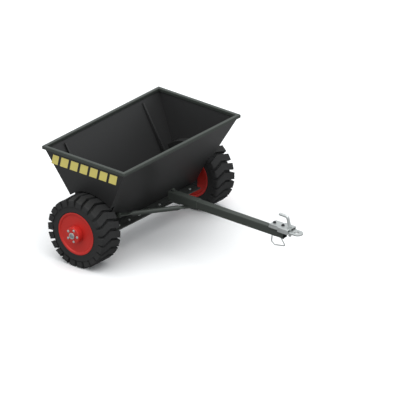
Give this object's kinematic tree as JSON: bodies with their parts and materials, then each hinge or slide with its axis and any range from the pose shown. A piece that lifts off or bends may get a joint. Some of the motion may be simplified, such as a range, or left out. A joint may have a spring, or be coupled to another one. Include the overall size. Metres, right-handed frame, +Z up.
{
  "type": "towed drop spreader",
  "caption": "Tow-behind drop spreader: sheet hopper over a ground-driven feed roller, metering gate with lever, lugged tyres and a drawbar hitch.",
  "frame": {"origin": "on the ground, in the middle of the machine's length and width", "axes": "+Z up, -Y forward towards the hitch, X along the axle; left is -X, seen from the front"},
  "size_m": [1.25, 1.479, 0.644],
  "materials": {
    "axle_steel": "bright drawn bar",
    "bearing_iron": "painted casting",
    "black_fasteners": "black oxide",
    "black_plastic": "moulded nylon",
    "drawbar_paint": "satin charcoal paint",
    "frame_paint": "satin charcoal paint",
    "galvanised_steel": "hot dip galvanised",
    "hopper_paint": "satin charcoal paint",
    "lip_rubber": "matt sheet rubber",
    "plate_paint": "satin charcoal paint",
    "red_paint": "gloss red enamel",
    "red_paint_hub": "gloss red enamel",
    "roller_paint": "satin charcoal paint",
    "tyre_rubber": "moulded tread, slightly dusty",
    "yellow_film": "self-adhesive film",
    "zinc_fasteners": "bright zinc plate"
  },
  "bodies": {
    "chassis": {"back_base_plate": "plate_paint", "back_left_rib": "hopper_paint", "back_right_rib": "hopper_paint", "back_wall": "hopper_paint", "bearing_bolts": "zinc_fasteners", "brace_bracket": "drawbar_paint", "chain_stirrup": "galvanised_steel", "diagonal_brace": "drawbar_paint", "drawbar_bolts": "drawbar_paint", "drawbar_sleeve": "drawbar_paint", "drawbar_support": "drawbar_paint", "drawbar_tube": "drawbar_paint", "frame_back_tube": "frame_paint", "frame_front_tube": "frame_paint", "frame_left_tube": "frame_paint", "frame_right_tube": "frame_paint", "front_base_plate": "plate_paint", "front_clamp_bar": "plate_paint", "front_left_rib": "hopper_paint", "front_lip_bolts": "zinc_fasteners", "front_right_rib": "hopper_paint", "front_rubber_lip": "lip_rubber", "front_wall": "hopper_paint", "gate_quadrant": "hopper_paint", "gate_shoulder_bolts": "zinc_fasteners", "hitch_bolts": "black_fasteners", "hitch_clevis": "galvanised_steel", "hitch_spacer": "galvanised_steel", "left_bearing": "bearing_iron", "left_bearing_plate": "hopper_paint", "left_end_wall": "hopper_paint", "left_floor_plate": "hopper_paint", "left_wheel_arch": "hopper_paint", "lever_pivot_bolt": "zinc_fasteners", "marker_blocks": "yellow_film", "right_bearing": "bearing_iron", "right_bearing_plate": "hopper_paint", "right_end_wall": "hopper_paint", "right_floor_plate": "hopper_paint", "right_wheel_arch": "hopper_paint", "tongue_plate": "galvanised_steel"},
    "drive_axle": {"axle_shaft": "axle_steel", "feed_roller": "roller_paint", "left_tyre": "tyre_rubber", "left_wheel_rim": "red_paint", "left_hub": "red_paint_hub", "left_hub_bolts": "zinc_fasteners", "drive_pin": "zinc_fasteners", "axle_collars": "zinc_fasteners"},
    "free_wheel": {"right_tyre": "tyre_rubber", "right_wheel_rim": "red_paint", "right_hub": "red_paint_hub", "right_hub_bolts": "zinc_fasteners"},
    "gate": {"metering_gate": "hopper_paint", "gate_rubber_lip": "lip_rubber"},
    "gate_lever": {"gate_lever": "hopper_paint", "lever_grip": "black_plastic", "clamp_knob": "black_plastic"},
    "hitch_pin": {"hitch_pin": "galvanised_steel"}
  },
  "joints": [
    {"name": "axle_spin", "type": "hinge", "parent": "chassis", "child": "drive_axle", "pos_m": [0, 0.4385, 0.204], "axis": [1, 0, 0], "continuous": true},
    {"name": "free_wheel_spin", "type": "hinge", "parent": "chassis", "child": "free_wheel", "pos_m": [0.509, 0.4385, 0.204], "axis": [1, 0, 0], "continuous": true},
    {"name": "lever_swing", "type": "hinge", "parent": "chassis", "child": "gate_lever", "pos_m": [0.063, 0.5985, 0.245], "axis": [1, 0, 0], "range_deg": [0, 32.26]},
    {"name": "gate_slide", "type": "slide", "parent": "chassis", "child": "gate", "axis": [0, 1, 0], "range_m": [0, 0.0255]},
    {"name": "pin_lift", "type": "slide", "parent": "chassis", "child": "hitch_pin", "axis": [0, 0, 1], "range_m": [0, 0.09]}
  ],
  "couplings": [
    {"joint": "gate_slide", "follows": "lever_swing", "m_per_rad": 0.04441}
  ]
}
